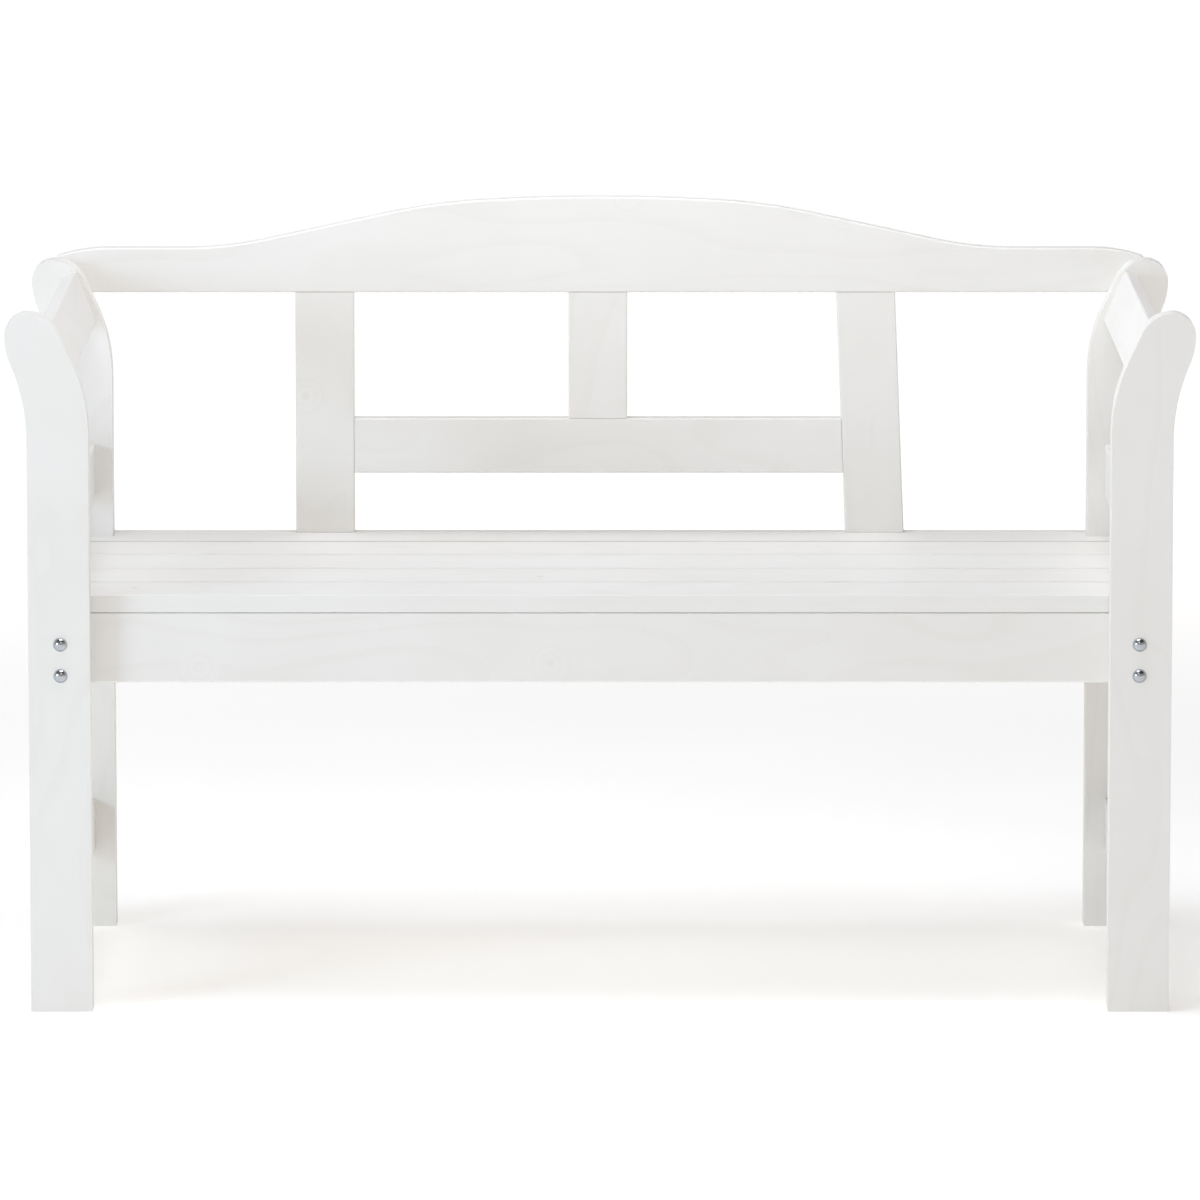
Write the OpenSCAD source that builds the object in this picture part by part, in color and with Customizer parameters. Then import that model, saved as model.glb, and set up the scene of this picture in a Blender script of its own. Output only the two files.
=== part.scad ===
// Garden bench in white painted softwood: flared side frames, slatted seat and a camel-back rest.
// Millimetres. Seen from the front +X is to the right, +Y goes towards the backrest and +Z is up.
// The origin is on the floor, at the centre of the footprint.

/* [Overall] */
// Width over the straight outer faces of the legs
bench_w = 1300; // [1100:10:1700]
// Clear depth between a front leg and its rear post
clear_depth = 500; // [460:5:540]
// Height of the flared tops of the legs and posts
post_h = 803; // [780:1:830]
// Height of the crest rail at its middle
peak_h = 875; // [865:1:900]

/* [Legs and posts] */
// Width of a leg seen from the front
leg_w = 70; // [60:1:80]
// Thickness of a leg from front to back
leg_t = 35; // [28:1:45]
// Angle at which the outer edge flares outwards
flare_angle = 23; // [18:1:26]
// Slope of the inner shoulder, from vertical
shoulder_angle = 25; // [24:1:28]

/* [Side rails] */
// Thickness of the middle side rails and the seat bearers
side_rail_t = 28; // [22:1:32]
// Height of a middle side rail
side_rail_h = 64; // [50:1:80]
// Underside of the middle side rails
side_rail_z = 519; // [510:1:530]
// Thickness of the lower stretchers
stretcher_t = 22; // [18:1:28]
// Height of a lower stretcher
stretcher_h = 63; // [50:1:80]
// Underside of the lower stretchers
stretcher_z = 93; // [60:1:140]
// Width of an armrest board
arm_w = 66; // [50:1:68]
// Thickness of an armrest board
arm_t = 18; // [16:1:20]
// Tilt of an armrest board, its top leaning outwards
arm_tilt = 22; // [18:1:23]

/* [Seat] */
// Height of the seat at its front edge
seat_h = 476; // [460:1:480]
// Fall of the seat from its front edge to its rear edge
seat_fall = 4; // [3:0.5:8]
// Thickness of a seat slat
slat_t = 20; // [16:1:20]
// Width of each of the four full slats
slat_w = 108; // [100:0.5:110]
// Gap between two slats
slat_gap = 6.5; // [4:0.5:9]
// Height of the front apron, the bottom rail and the seat bearers
apron_h = 80; // [76:1:95]
// Thickness of the front apron and of all backrest boards
board_t = 22; // [20:1:26]

/* [Backrest] */
// Underside of the crest rail
crest_z = 760.5; // [755:0.5:765]
// Height of the middle rail
mid_rail_h = 66; // [50:1:80]
// Underside of the middle rail
mid_rail_z = 543.5; // [530:0.5:580]
// Width of a stile
stile_w = 70; // [55:1:80]
// Distance from the middle of the bench to the middle of a stile's foot
stile_x = 328; // [300:1:380]
// Lean of the right stile, its top towards the middle
right_stile_lean = 2.3; // [0:0.1:3]

/* [Fasteners] */
// Diameter of the dome-headed bolts
bolt_d = 6; // [5:1:8]
// Diameter of a dome head
bolt_head_d = 16; // [14:1:20]
// Height of a dome head
bolt_head_h = 5; // [3:0.5:6]
// Distance between the two bolts of a joint
bolt_pitch = 36; // [30:1:40]

/* [Hidden] */
$fn = 32;
arc_chord = 7;

// Planes from front to back
depth = 2 * leg_t + clear_depth + board_t;
y_leg = -depth / 2;
y_apron = y_leg + leg_t;
y_bearer = y_apron + board_t;
y_post = y_apron + clear_depth;
y_back = y_post + leg_t;
y_rear = y_back + board_t;

// Planes from the middle outwards
x_leg = bench_w / 2 - leg_w;
x_mid = bench_w / 2 - leg_w / 2;
x_end = bench_w / 2 - 5;

// Leg and post outline
flare_r = 220;
cheek_r = 85;
tip_r = 25;
shoulder_r = 40;
inner_r = 200;
flare_z = post_h - tip_r - (flare_r + cheek_r) * sin(flare_angle);
tip_x = leg_w + (flare_r + cheek_r) * (1 - cos(flare_angle)) - tip_r;
shoulder_run = tip_x - shoulder_r * cos(shoulder_angle) - inner_r * (1 - cos(shoulder_angle));
shoulder_len = shoulder_run / sin(shoulder_angle);

// Crest rail outline, from its middle to one end
crest_end = 648;
crest_flat_r = 2400;
crest_flat_turn = 3.3;
crest_brow_r = 760;
crest_slope = 12.2;
crest_line = 148;
crest_dip_r = 440;
crest_tail = 92;
crest_tip_r = 190;
crest_tip_turn = 18;

// Seat
seat_y = y_apron + 1;
seat_depth = y_back - seat_y - 0.5;
seat_slope = atan(seat_fall / seat_depth);
slat_pitch = slat_w + slat_gap;
slat_count = 5;
slat_end = x_mid + side_rail_t / 2;
notch_clear = 1;
apron_top = seat_h - slat_t - 0.5;
bottom_rail_top = seat_h - seat_fall;

// Supports under the slats
batten_w = 45;
batten_t = 22;
batten_x = x_leg - 5 - batten_w / 2;
batten_y = 26;
bearer_w = 45;
bearer_t = 30;

// Armrest
arm_x = x_mid + 3.5;
arm_z = post_h - 46;

// Bolts and barrel nuts
bolt_clear = 0.6;
bolt_x = x_mid - 1.5;
front_bolt_z = apron_top - 31;
rear_bolt_z = bottom_rail_top - 33;
bolt_reach = 40;
nut_set = 30;
nut_d = 10;
nut_len = 20;

// Screws
slat_screw_d = 4;
slat_screw_len = 35;
slat_screw_head_d = 8;
screw_head_h = 2.5;
crest_screw_d = 5;
crest_screw_len = 45;
crest_screw_head_d = 9.5;
crest_screw_at = [[x_mid + 9, post_h - 31], [x_mid + 26, post_h - 19]];

// Dowels
dowel_len = 40;
arm_dowel_d = 8;
rail_dowel_d = 10;
back_dowel_d = 8;
arm_dowel_set = 15;
rail_dowel_set = 16;
bearer_dowel_set = 12;
bearer_dowel_z = apron_top - 17;

// Stiles
mid_stile_x = -2.5;

// ---- Outlines ----

function left_of(heading) = [-sin(heading), cos(heading)];

// Points of one arc: a positive turn bends left, a negative turn bends right.
function arc_from(p, heading, r, turn) =
    let (steps = ceil(abs(turn) * PI / 180 * r / arc_chord))
    [for (i = [1:steps])
        p + sign(turn) * r * (left_of(heading) - left_of(heading + turn * i / steps))];

// Points of a walk: each step is [length, 0] for a straight or [radius, turn] for an arc.
function walk(p, heading, steps, i = 0) =
    i == len(steps) ? [] :
    let (size = steps[i][0], turn = steps[i][1],
         run = turn == 0 ? [p + size * [cos(heading), sin(heading)]]
                         : arc_from(p, heading, size, turn))
    concat(run, walk(run[len(run) - 1], heading + turn, steps, i + 1));

// Front view of a leg, x from its straight inner edge outwards.
post_outline = concat([[0, 0], [leg_w, 0]], walk([leg_w, 0], 90, [
    [flare_z, 0],
    [flare_r, -flare_angle],
    [cheek_r, flare_angle],
    [tip_r, 90],
    [shoulder_r, 90 - shoulder_angle],
    [shoulder_len, 0],
    [inner_r, shoulder_angle]
]));

// Top edge of the crest rail from its middle to its right-hand end.
crest_half = [for (p = walk([0, peak_h], 0, [
    [crest_flat_r, -crest_flat_turn],
    [crest_brow_r, crest_flat_turn - crest_slope],
    [crest_line, 0],
    [crest_dip_r, crest_slope],
    [crest_tail, 0],
    [crest_tip_r, -crest_tip_turn]
])) if (p[0] < crest_end - 1) p];
crest_end_z = crest_half[len(crest_half) - 1][1] - 2;
crest_right = concat([[0, peak_h]], crest_half, [[crest_end, crest_end_z], [crest_end, crest_z]]);
crest_outline = concat(crest_right,
    [for (i = [len(crest_right) - 1:-1:1]) [-crest_right[i][0], crest_right[i][1]]]);

// ---- Helpers ----

// Extrudes a front view from y towards the back.
module facing(y, t) {
    translate([0, y + t, 0]) rotate([90, 0, 0]) linear_extrude(t) children();
}

// A bar along y.
module bar_y(x, z, w, h, y0, y1) {
    translate([x - w / 2, y0, z]) cube([w, y1 - y0, h]);
}

// A round pin or bore along y.
module pin_y(x, z, y0, y1, d) {
    translate([x, y0, z]) rotate([-90, 0, 0]) cylinder(h = y1 - y0, d = d);
}

// A round pin or bore along z.
module pin_z(x, y, z0, z1, d) {
    translate([x, y, z0]) cylinder(h = z1 - z0, d = d);
}

// A round pin or bore along x.
module pin_x(y, z, x0, x1, d) {
    translate([x0, y, z]) rotate([0, 90, 0]) cylinder(h = x1 - x0, d = d);
}

// Builds a right-hand piece (side = 1) or its mirror image (side = -1).
module on_side(side) {
    if (side > 0) children();
    else mirror([1, 0, 0]) children();
}

// The tilted frame of the seat: y from the front edge, z from the top face.
module on_seat() {
    translate([0, seat_y, seat_h]) rotate([-seat_slope, 0, 0]) children();
}

// ---- Joint positions, right-hand side ----

arm_dowel_at = [for (s = [-1, 1]) [arm_x, arm_z] + s * arm_dowel_set * [sin(arm_tilt), cos(arm_tilt)]];
side_rail_dowel_at = [for (s = [-1, 1]) [x_mid, side_rail_z + side_rail_h / 2 + s * rail_dowel_set]];
stretcher_dowel_at = [for (s = [-1, 1]) [x_mid, stretcher_z + stretcher_h / 2 + s * rail_dowel_set]];

// Dowels of one list at one y plane, half in each piece.
module dowels_y(at, y, d) {
    for (p = at) pin_y(p[0], p[1], y - dowel_len / 2, y + dowel_len / 2, d);
}

module side_dowels(y) {
    dowels_y(arm_dowel_at, y, arm_dowel_d);
    dowels_y(side_rail_dowel_at, y, rail_dowel_d);
    dowels_y(stretcher_dowel_at, y, rail_dowel_d);
}

module bolt_pair(z, y0, y1, d) {
    for (i = [0, 1]) pin_y(bolt_x, z - i * bolt_pitch, y0, y1, d);
}

// ---- Side frames ----

module post_blank(y) {
    facing(y, leg_t) translate([x_leg, 0]) polygon(post_outline);
}

module front_leg(side) {
    color("white") on_side(side) difference() {
        post_blank(y_leg);
        side_dowels(y_apron);
        bolt_pair(front_bolt_z, y_leg - 1, y_apron + 1, bolt_d + bolt_clear);
    }
}

module rear_post(side) {
    color("white") on_side(side) difference() {
        post_blank(y_post);
        side_dowels(y_post);
        bolt_pair(rear_bolt_z, y_post - 1, y_back + 1, bolt_d + bolt_clear);
        for (p = crest_screw_at)
            pin_y(p[0], p[1], y_rear - crest_screw_len, y_back + 1, crest_screw_d);
    }
}

module armrest(side) {
    color("white") on_side(side) difference() {
        facing(y_apron, clear_depth)
            translate([arm_x, arm_z]) rotate(-arm_tilt) square([arm_t, arm_w], center = true);
        dowels_y(arm_dowel_at, y_apron, arm_dowel_d);
        dowels_y(arm_dowel_at, y_post, arm_dowel_d);
    }
}

module side_rail(side) {
    color("white") on_side(side) difference() {
        bar_y(x_mid, side_rail_z, side_rail_t, side_rail_h, y_apron, y_post);
        dowels_y(side_rail_dowel_at, y_apron, rail_dowel_d);
        dowels_y(side_rail_dowel_at, y_post, rail_dowel_d);
    }
}

module lower_stretcher(side) {
    color("white") on_side(side) difference() {
        bar_y(x_mid, stretcher_z, stretcher_t, stretcher_h, y_apron, y_post);
        dowels_y(stretcher_dowel_at, y_apron, rail_dowel_d);
        dowels_y(stretcher_dowel_at, y_post, rail_dowel_d);
    }
}

// ---- Seat frame ----

// The space under the slats, down from the plane that they rest on.
module below_slats() {
    on_seat() translate([-bench_w, -leg_t, -slat_t - 2 * apron_h])
        cube([2 * bench_w, depth, 2 * apron_h]);
}

// Barrel nuts, or their bores, from the inner face x0 of a bearer.
module nuts_from(x0) {
    x1 = x_mid - side_rail_t / 2 + nut_len;
    for (i = [0, 1]) {
        pin_x(y_bearer + nut_set, front_bolt_z - i * bolt_pitch, x0, x1, nut_d);
        pin_x(y_post - nut_set, rear_bolt_z - i * bolt_pitch, x0, x1, nut_d);
    }
}

module seat_bearer(side) {
    color("white") on_side(side) difference() {
        intersection() {
            bar_y(x_mid, apron_top - apron_h, side_rail_t, 2 * apron_h, y_bearer, y_post);
            below_slats();
        }
        bolt_pair(front_bolt_z, y_bearer - 1, y_bearer + bolt_reach, bolt_d + bolt_clear);
        bolt_pair(rear_bolt_z, y_post - bolt_reach, y_post + 1, bolt_d + bolt_clear);
        nuts_from(x_mid - side_rail_t);
    }
}

module bearer_dowels_at(y0, y1) {
    for (s = [-1, 1]) pin_y(s * bearer_w / 4, bearer_dowel_z, y0, y1, back_dowel_d);
}

module bearer_dowels() {
    color("burlywood") {
        bearer_dowels_at(y_bearer - bearer_dowel_set, y_bearer - bearer_dowel_set + dowel_len);
        bearer_dowels_at(y_back + bearer_dowel_set - dowel_len, y_back + bearer_dowel_set);
    }
}

module centre_bearer() {
    color("white") difference() {
        intersection() {
            bar_y(0, apron_top - bearer_t, bearer_w, 2 * bearer_t, y_bearer, y_back);
            below_slats();
        }
        bearer_dowels();
        slat_screw_bores(0);
    }
}

module front_apron() {
    color("white") difference() {
        translate([-x_end, y_apron, apron_top - apron_h]) cube([2 * x_end, board_t, apron_h]);
        for (side = [-1, 1]) on_side(side)
            bolt_pair(front_bolt_z, y_apron - 1, y_bearer + 1, bolt_d + bolt_clear);
        bearer_dowels();
    }
}

module bottom_rail() {
    color("white") difference() {
        translate([-x_end, y_back, bottom_rail_top - apron_h]) cube([2 * x_end, board_t, apron_h]);
        for (side = [-1, 1]) on_side(side)
            bolt_pair(rear_bolt_z, y_back - 1, y_rear + 1, bolt_d + bolt_clear);
        bearer_dowels();
        backrest_dowels();
    }
}

// ---- Seat ----

last_slat_w = seat_depth - (slat_count - 1) * slat_pitch;
slat_widths = [for (i = [1:slat_count]) i < slat_count ? slat_w : last_slat_w];
slat_fronts = [for (i = [0:slat_count - 1]) i * slat_pitch];
support_xs = [-batten_x, 0, batten_x];

// Plane of the screw heads, at the underside of the battens; the thicker middle bearer is counterbored.
screw_base = -slat_t - batten_t;

module slat_screw_bores(x) {
    on_seat() for (i = [0:slat_count - 1]) {
        y = slat_fronts[i] + slat_widths[i] / 2;
        pin_z(x, y, screw_base - 1, screw_base + slat_screw_len, slat_screw_d);
        pin_z(x, y, screw_base - bearer_t, screw_base, slat_screw_head_d + 1);
    }
}

module slat_screws() {
    color("silver") on_seat() for (x = support_xs) for (i = [0:slat_count - 1]) {
        y = slat_fronts[i] + slat_widths[i] / 2;
        pin_z(x, y, screw_base - screw_head_h, screw_base, slat_screw_head_d);
        pin_z(x, y, screw_base, screw_base + slat_screw_len, slat_screw_d);
    }
}

// The last slat is cut round both rear posts.
module post_notches() {
    for (side = [-1, 1]) on_side(side)
        translate([x_leg - notch_clear, y_post - notch_clear, 0]) cube([leg_w, leg_t + 10, post_h]);
}

module seat_slat(number) {
    color("white") difference() {
        on_seat() translate([-slat_end, slat_fronts[number - 1], -slat_t])
            cube([2 * slat_end, slat_widths[number - 1], slat_t]);
        for (x = support_xs) slat_screw_bores(x);
        if (number == slat_count) post_notches();
    }
}

module seat_batten(side) {
    color("white") difference() {
        on_seat() translate([side * batten_x - batten_w / 2, batten_y, screw_base])
            cube([batten_w, seat_depth - batten_y - 4, batten_t]);
        slat_screw_bores(side * batten_x);
    }
}

// ---- Backrest ----

// Middle of the right stile at a height.
function right_stile_x(z) = stile_x - (z - bottom_rail_top) * tan(right_stile_lean);

y_board = y_back + board_t / 2;
stile_dowel_x = stile_w / 4;
mid_dowel_z = [for (s = [-1, 1]) mid_rail_z + mid_rail_h / 2 + s * mid_rail_h / 4];

module backrest_dowels() {
    half = dowel_len / 2;
    feet = [for (x = [-stile_x, right_stile_x(bottom_rail_top)]) [x, bottom_rail_top]];
    heads = [for (x = [-stile_x, right_stile_x(crest_z), mid_stile_x]) [x, crest_z]];
    color("burlywood") {
        for (p = concat(feet, heads, [[mid_stile_x, mid_rail_z + mid_rail_h]])) for (s = [-1, 1])
            pin_z(p[0] + s * stile_dowel_x, y_board, p[1] - half, p[1] + half, back_dowel_d);
        for (z = mid_dowel_z) for (x = [stile_w / 2 - stile_x, right_stile_x(z) - stile_w / 2])
            pin_x(y_board, z, x - half, x + half, back_dowel_d);
    }
}

module crest_rail() {
    color("white") difference() {
        facing(y_back, board_t) polygon(crest_outline);
        backrest_dowels();
        for (side = [-1, 1]) on_side(side) for (p = crest_screw_at)
            pin_y(p[0], p[1], y_back - 1, y_rear + 1, crest_screw_d);
    }
}

module middle_rail() {
    top = mid_rail_z + mid_rail_h;
    left = stile_w / 2 - stile_x;
    color("white") difference() {
        facing(y_back, board_t) polygon([
            [left, mid_rail_z], [right_stile_x(mid_rail_z) - stile_w / 2, mid_rail_z],
            [right_stile_x(top) - stile_w / 2, top], [left, top]
        ]);
        backrest_dowels();
    }
}

// A stile between two heights, its middle moving from foot_x to head_x.
module stile(foot_x, head_x, z0, z1) {
    half = stile_w / 2;
    color("white") difference() {
        facing(y_back, board_t) polygon([
            [foot_x - half, z0], [foot_x + half, z0], [head_x + half, z1], [head_x - half, z1]
        ]);
        backrest_dowels();
    }
}

// ---- Fasteners ----

// A dome-headed bolt along +y, the underside of its head at y = 0.
module dome_bolt(len) {
    dome_r = (pow(bolt_head_d / 2, 2) + pow(bolt_head_h, 2)) / (2 * bolt_head_h);
    intersection() {
        translate([0, dome_r - bolt_head_h, 0]) sphere(dome_r, $fn = 64);
        rotate([90, 0, 0]) cylinder(h = bolt_head_h + 1, d = bolt_head_d + 2);
    }
    rotate([-90, 0, 0]) cylinder(h = len, d = bolt_d);
}

module front_bolts() {
    len = leg_t + board_t + bolt_reach - 1;
    color("silver") for (side = [-1, 1]) for (i = [0, 1])
        translate([side * bolt_x, y_leg, front_bolt_z - i * bolt_pitch]) dome_bolt(len);
}

module rear_bolts() {
    len = leg_t + board_t + bolt_reach - 1;
    color("silver") for (side = [-1, 1]) for (i = [0, 1])
        translate([side * bolt_x, y_rear, rear_bolt_z - i * bolt_pitch]) rotate(180) dome_bolt(len);
}

// Barrel nuts lie across the ends of the seat bearers, one on each bolt.
module barrel_nuts() {
    color("silver") for (side = [-1, 1]) on_side(side) difference() {
        nuts_from(x_mid - side_rail_t / 2);
        bolt_pair(front_bolt_z, y_bearer, y_bearer + 2 * nut_set, bolt_d);
        bolt_pair(rear_bolt_z, y_post - 2 * nut_set, y_post, bolt_d);
    }
}

module crest_screws() {
    color("silver") for (side = [-1, 1]) on_side(side) for (p = crest_screw_at) {
        pin_y(p[0], p[1], y_rear - crest_screw_len, y_rear, crest_screw_d);
        pin_y(p[0], p[1], y_rear, y_rear + screw_head_h, crest_screw_head_d);
    }
}

// Dowels at both ends of the same piece in both side frames.
module paired_dowels(at, d) {
    color("burlywood") for (side = [-1, 1]) on_side(side)
        for (y = [y_apron, y_post]) dowels_y(at, y, d);
}

front_leg(-1);  // front_leg_left
front_leg(1);  // front_leg_right
rear_post(-1);  // rear_post_left
rear_post(1);  // rear_post_right
armrest(-1);  // armrest_left
armrest(1);  // armrest_right
side_rail(-1);  // side_rail_left
side_rail(1);  // side_rail_right
lower_stretcher(-1);  // lower_stretcher_left
lower_stretcher(1);  // lower_stretcher_right
seat_bearer(-1);  // seat_bearer_left
seat_bearer(1);  // seat_bearer_right
centre_bearer();
front_apron();
bottom_rail();
seat_slat(1);  // seat_slat_1
seat_slat(2);  // seat_slat_2
seat_slat(3);  // seat_slat_3
seat_slat(4);  // seat_slat_4
seat_slat(5);  // seat_slat_5
seat_batten(-1);  // seat_batten_left
seat_batten(1);  // seat_batten_right
crest_rail();
middle_rail();
stile(-stile_x, -stile_x, bottom_rail_top, crest_z);  // stile_left
stile(stile_x, right_stile_x(crest_z), bottom_rail_top, crest_z);  // stile_right
stile(mid_stile_x, mid_stile_x, mid_rail_z + mid_rail_h, crest_z);  // centre_stile
front_bolts();
rear_bolts();
barrel_nuts();
crest_screws();
slat_screws();
paired_dowels(arm_dowel_at, arm_dowel_d);  // armrest_dowels
paired_dowels(side_rail_dowel_at, rail_dowel_d);  // side_rail_dowels
paired_dowels(stretcher_dowel_at, rail_dowel_d);  // stretcher_dowels
backrest_dowels();
bearer_dowels();
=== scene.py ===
"""A two-seat garden bench in white painted softwood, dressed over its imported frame.

Every board is planed, rounded and painted as its own piece; the frame gives each one its place.
"""

import logging
import math
from dataclasses import dataclass, field
from enum import Enum

import bmesh
import bpy
from mathutils import Matrix, Vector


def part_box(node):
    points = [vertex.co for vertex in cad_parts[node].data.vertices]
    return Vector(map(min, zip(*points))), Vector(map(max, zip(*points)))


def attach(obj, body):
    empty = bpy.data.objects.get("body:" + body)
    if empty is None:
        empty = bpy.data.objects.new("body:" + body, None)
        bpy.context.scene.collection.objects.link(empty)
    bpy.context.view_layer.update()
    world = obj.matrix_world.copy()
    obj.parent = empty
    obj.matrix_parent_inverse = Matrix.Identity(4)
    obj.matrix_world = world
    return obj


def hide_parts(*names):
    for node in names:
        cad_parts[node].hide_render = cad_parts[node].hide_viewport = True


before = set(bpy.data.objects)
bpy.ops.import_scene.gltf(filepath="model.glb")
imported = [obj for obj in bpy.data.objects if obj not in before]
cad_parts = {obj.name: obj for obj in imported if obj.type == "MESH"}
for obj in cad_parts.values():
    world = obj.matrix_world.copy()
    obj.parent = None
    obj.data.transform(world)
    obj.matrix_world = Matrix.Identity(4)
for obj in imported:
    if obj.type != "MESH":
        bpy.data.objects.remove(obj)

LOG = logging.getLogger("garden_bench")
MM = 0.001
# An edge is rounded where it turns by more than the first, and shaded as sharp above the second, in degrees.
ROUND_FROM, SHARP_FROM = 50.0, 35.0
# Points closer than this are one point: at the end of an outline, and across a mirror.
WELD, MIRROR_WELD = 0.02 * MM, 0.05 * MM
X, Y, Z = Vector((1, 0, 0)), Vector((0, 1, 0)), Vector((0, 0, 1))
Tree = bpy.types.NodeTree
Socket = bpy.types.NodeSocket


class Slot(Enum):
    """Names for the bench's three material slots."""

    PAINTED_WOOD = "painted_wood"
    ZINC_STEEL = "zinc_steel"
    BEECH = "beech"


def srgb(code: str) -> tuple[float, float, float, float]:
    """Turns an sRGB hex colour into a linear colour.

    Args:
        code: Six hex digits, such as "f4f2ee".

    Returns:
        Linear red, green and blue, and an alpha of 1.
    """
    parts = [int(code[i:i + 2], 16) / 255 for i in (0, 2, 4)]
    linear = [p / 12.92 if p <= 0.04045 else ((p + 0.055) / 1.055) ** 2.4 for p in parts]
    return (linear[0], linear[1], linear[2], 1.0)


def add_node(
    tree: Tree, kind: str, inputs: dict[str | int, object] | None = None, **settings: object
) -> bpy.types.Node:
    """Adds one shader node with its settings, values and links.

    Args:
        tree: The node tree that the node goes into.
        kind: The node's type name.
        inputs: Socket name or number to a value, or to the output socket that feeds it.
        settings: The node's own properties.

    Returns:
        The new node.
    """
    node = tree.nodes.new(kind)
    for name, value in settings.items():
        setattr(node, name, value)
    for key, value in (inputs or {}).items():
        if isinstance(value, bpy.types.NodeSocket):
            tree.links.new(value, node.inputs[key])
        else:
            node.inputs[key].default_value = value
    return node


def fresh_material(name: str) -> tuple[bpy.types.Material, Tree]:
    """Makes a material with no nodes.

    Args:
        name: The material's name.

    Returns:
        The material and its node tree.
    """
    material = bpy.data.materials.new(name)
    material.use_nodes = True
    material.node_tree.nodes.clear()
    return material, material.node_tree


# ---- Finishes ----


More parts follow.
